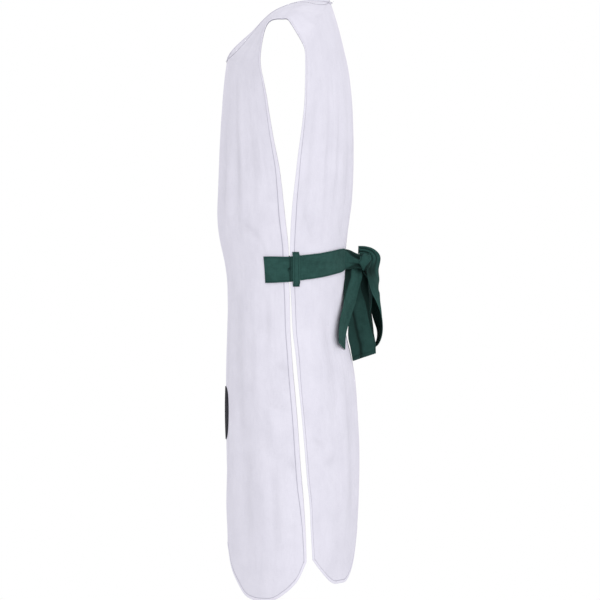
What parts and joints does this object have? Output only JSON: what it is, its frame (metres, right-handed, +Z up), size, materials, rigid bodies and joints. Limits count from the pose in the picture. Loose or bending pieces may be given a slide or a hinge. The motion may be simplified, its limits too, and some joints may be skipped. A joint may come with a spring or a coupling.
{
  "type": "tabard",
  "caption": "Sleeveless cloth tabard in worn form, open down both sides, with tongued hems, side belt loops and a belt tied behind in a half bow.",
  "frame": {"origin": "the middle between the two shoulder seams, level with the middle of their length, where the wearer's shoulders carry the garment", "axes": "+Z up, the front faces -Y, the wearer's left is +X"},
  "size_m": [0.4496, 0.2989, 1.0811],
  "materials": {
    "white_cloth": "matt plain-weave cotton, white with a faint lilac cast",
    "green_cloth": "matt plain-weave cotton, dark green",
    "dark_cloth": "matt cloth, near black"
  },
  "bodies": {
    "root": {"front_panel": "white_cloth", "back_panel": "white_cloth", "belt_left": "green_cloth", "belt_right": "green_cloth", "belt_loop_left": "green_cloth", "belt_loop_right": "green_cloth", "bow_knot": "green_cloth", "bow_loop": "green_cloth", "bow_tail_side": "green_cloth", "bow_tail_back": "green_cloth", "front_patch": "dark_cloth"}
  },
  "joints": []
}
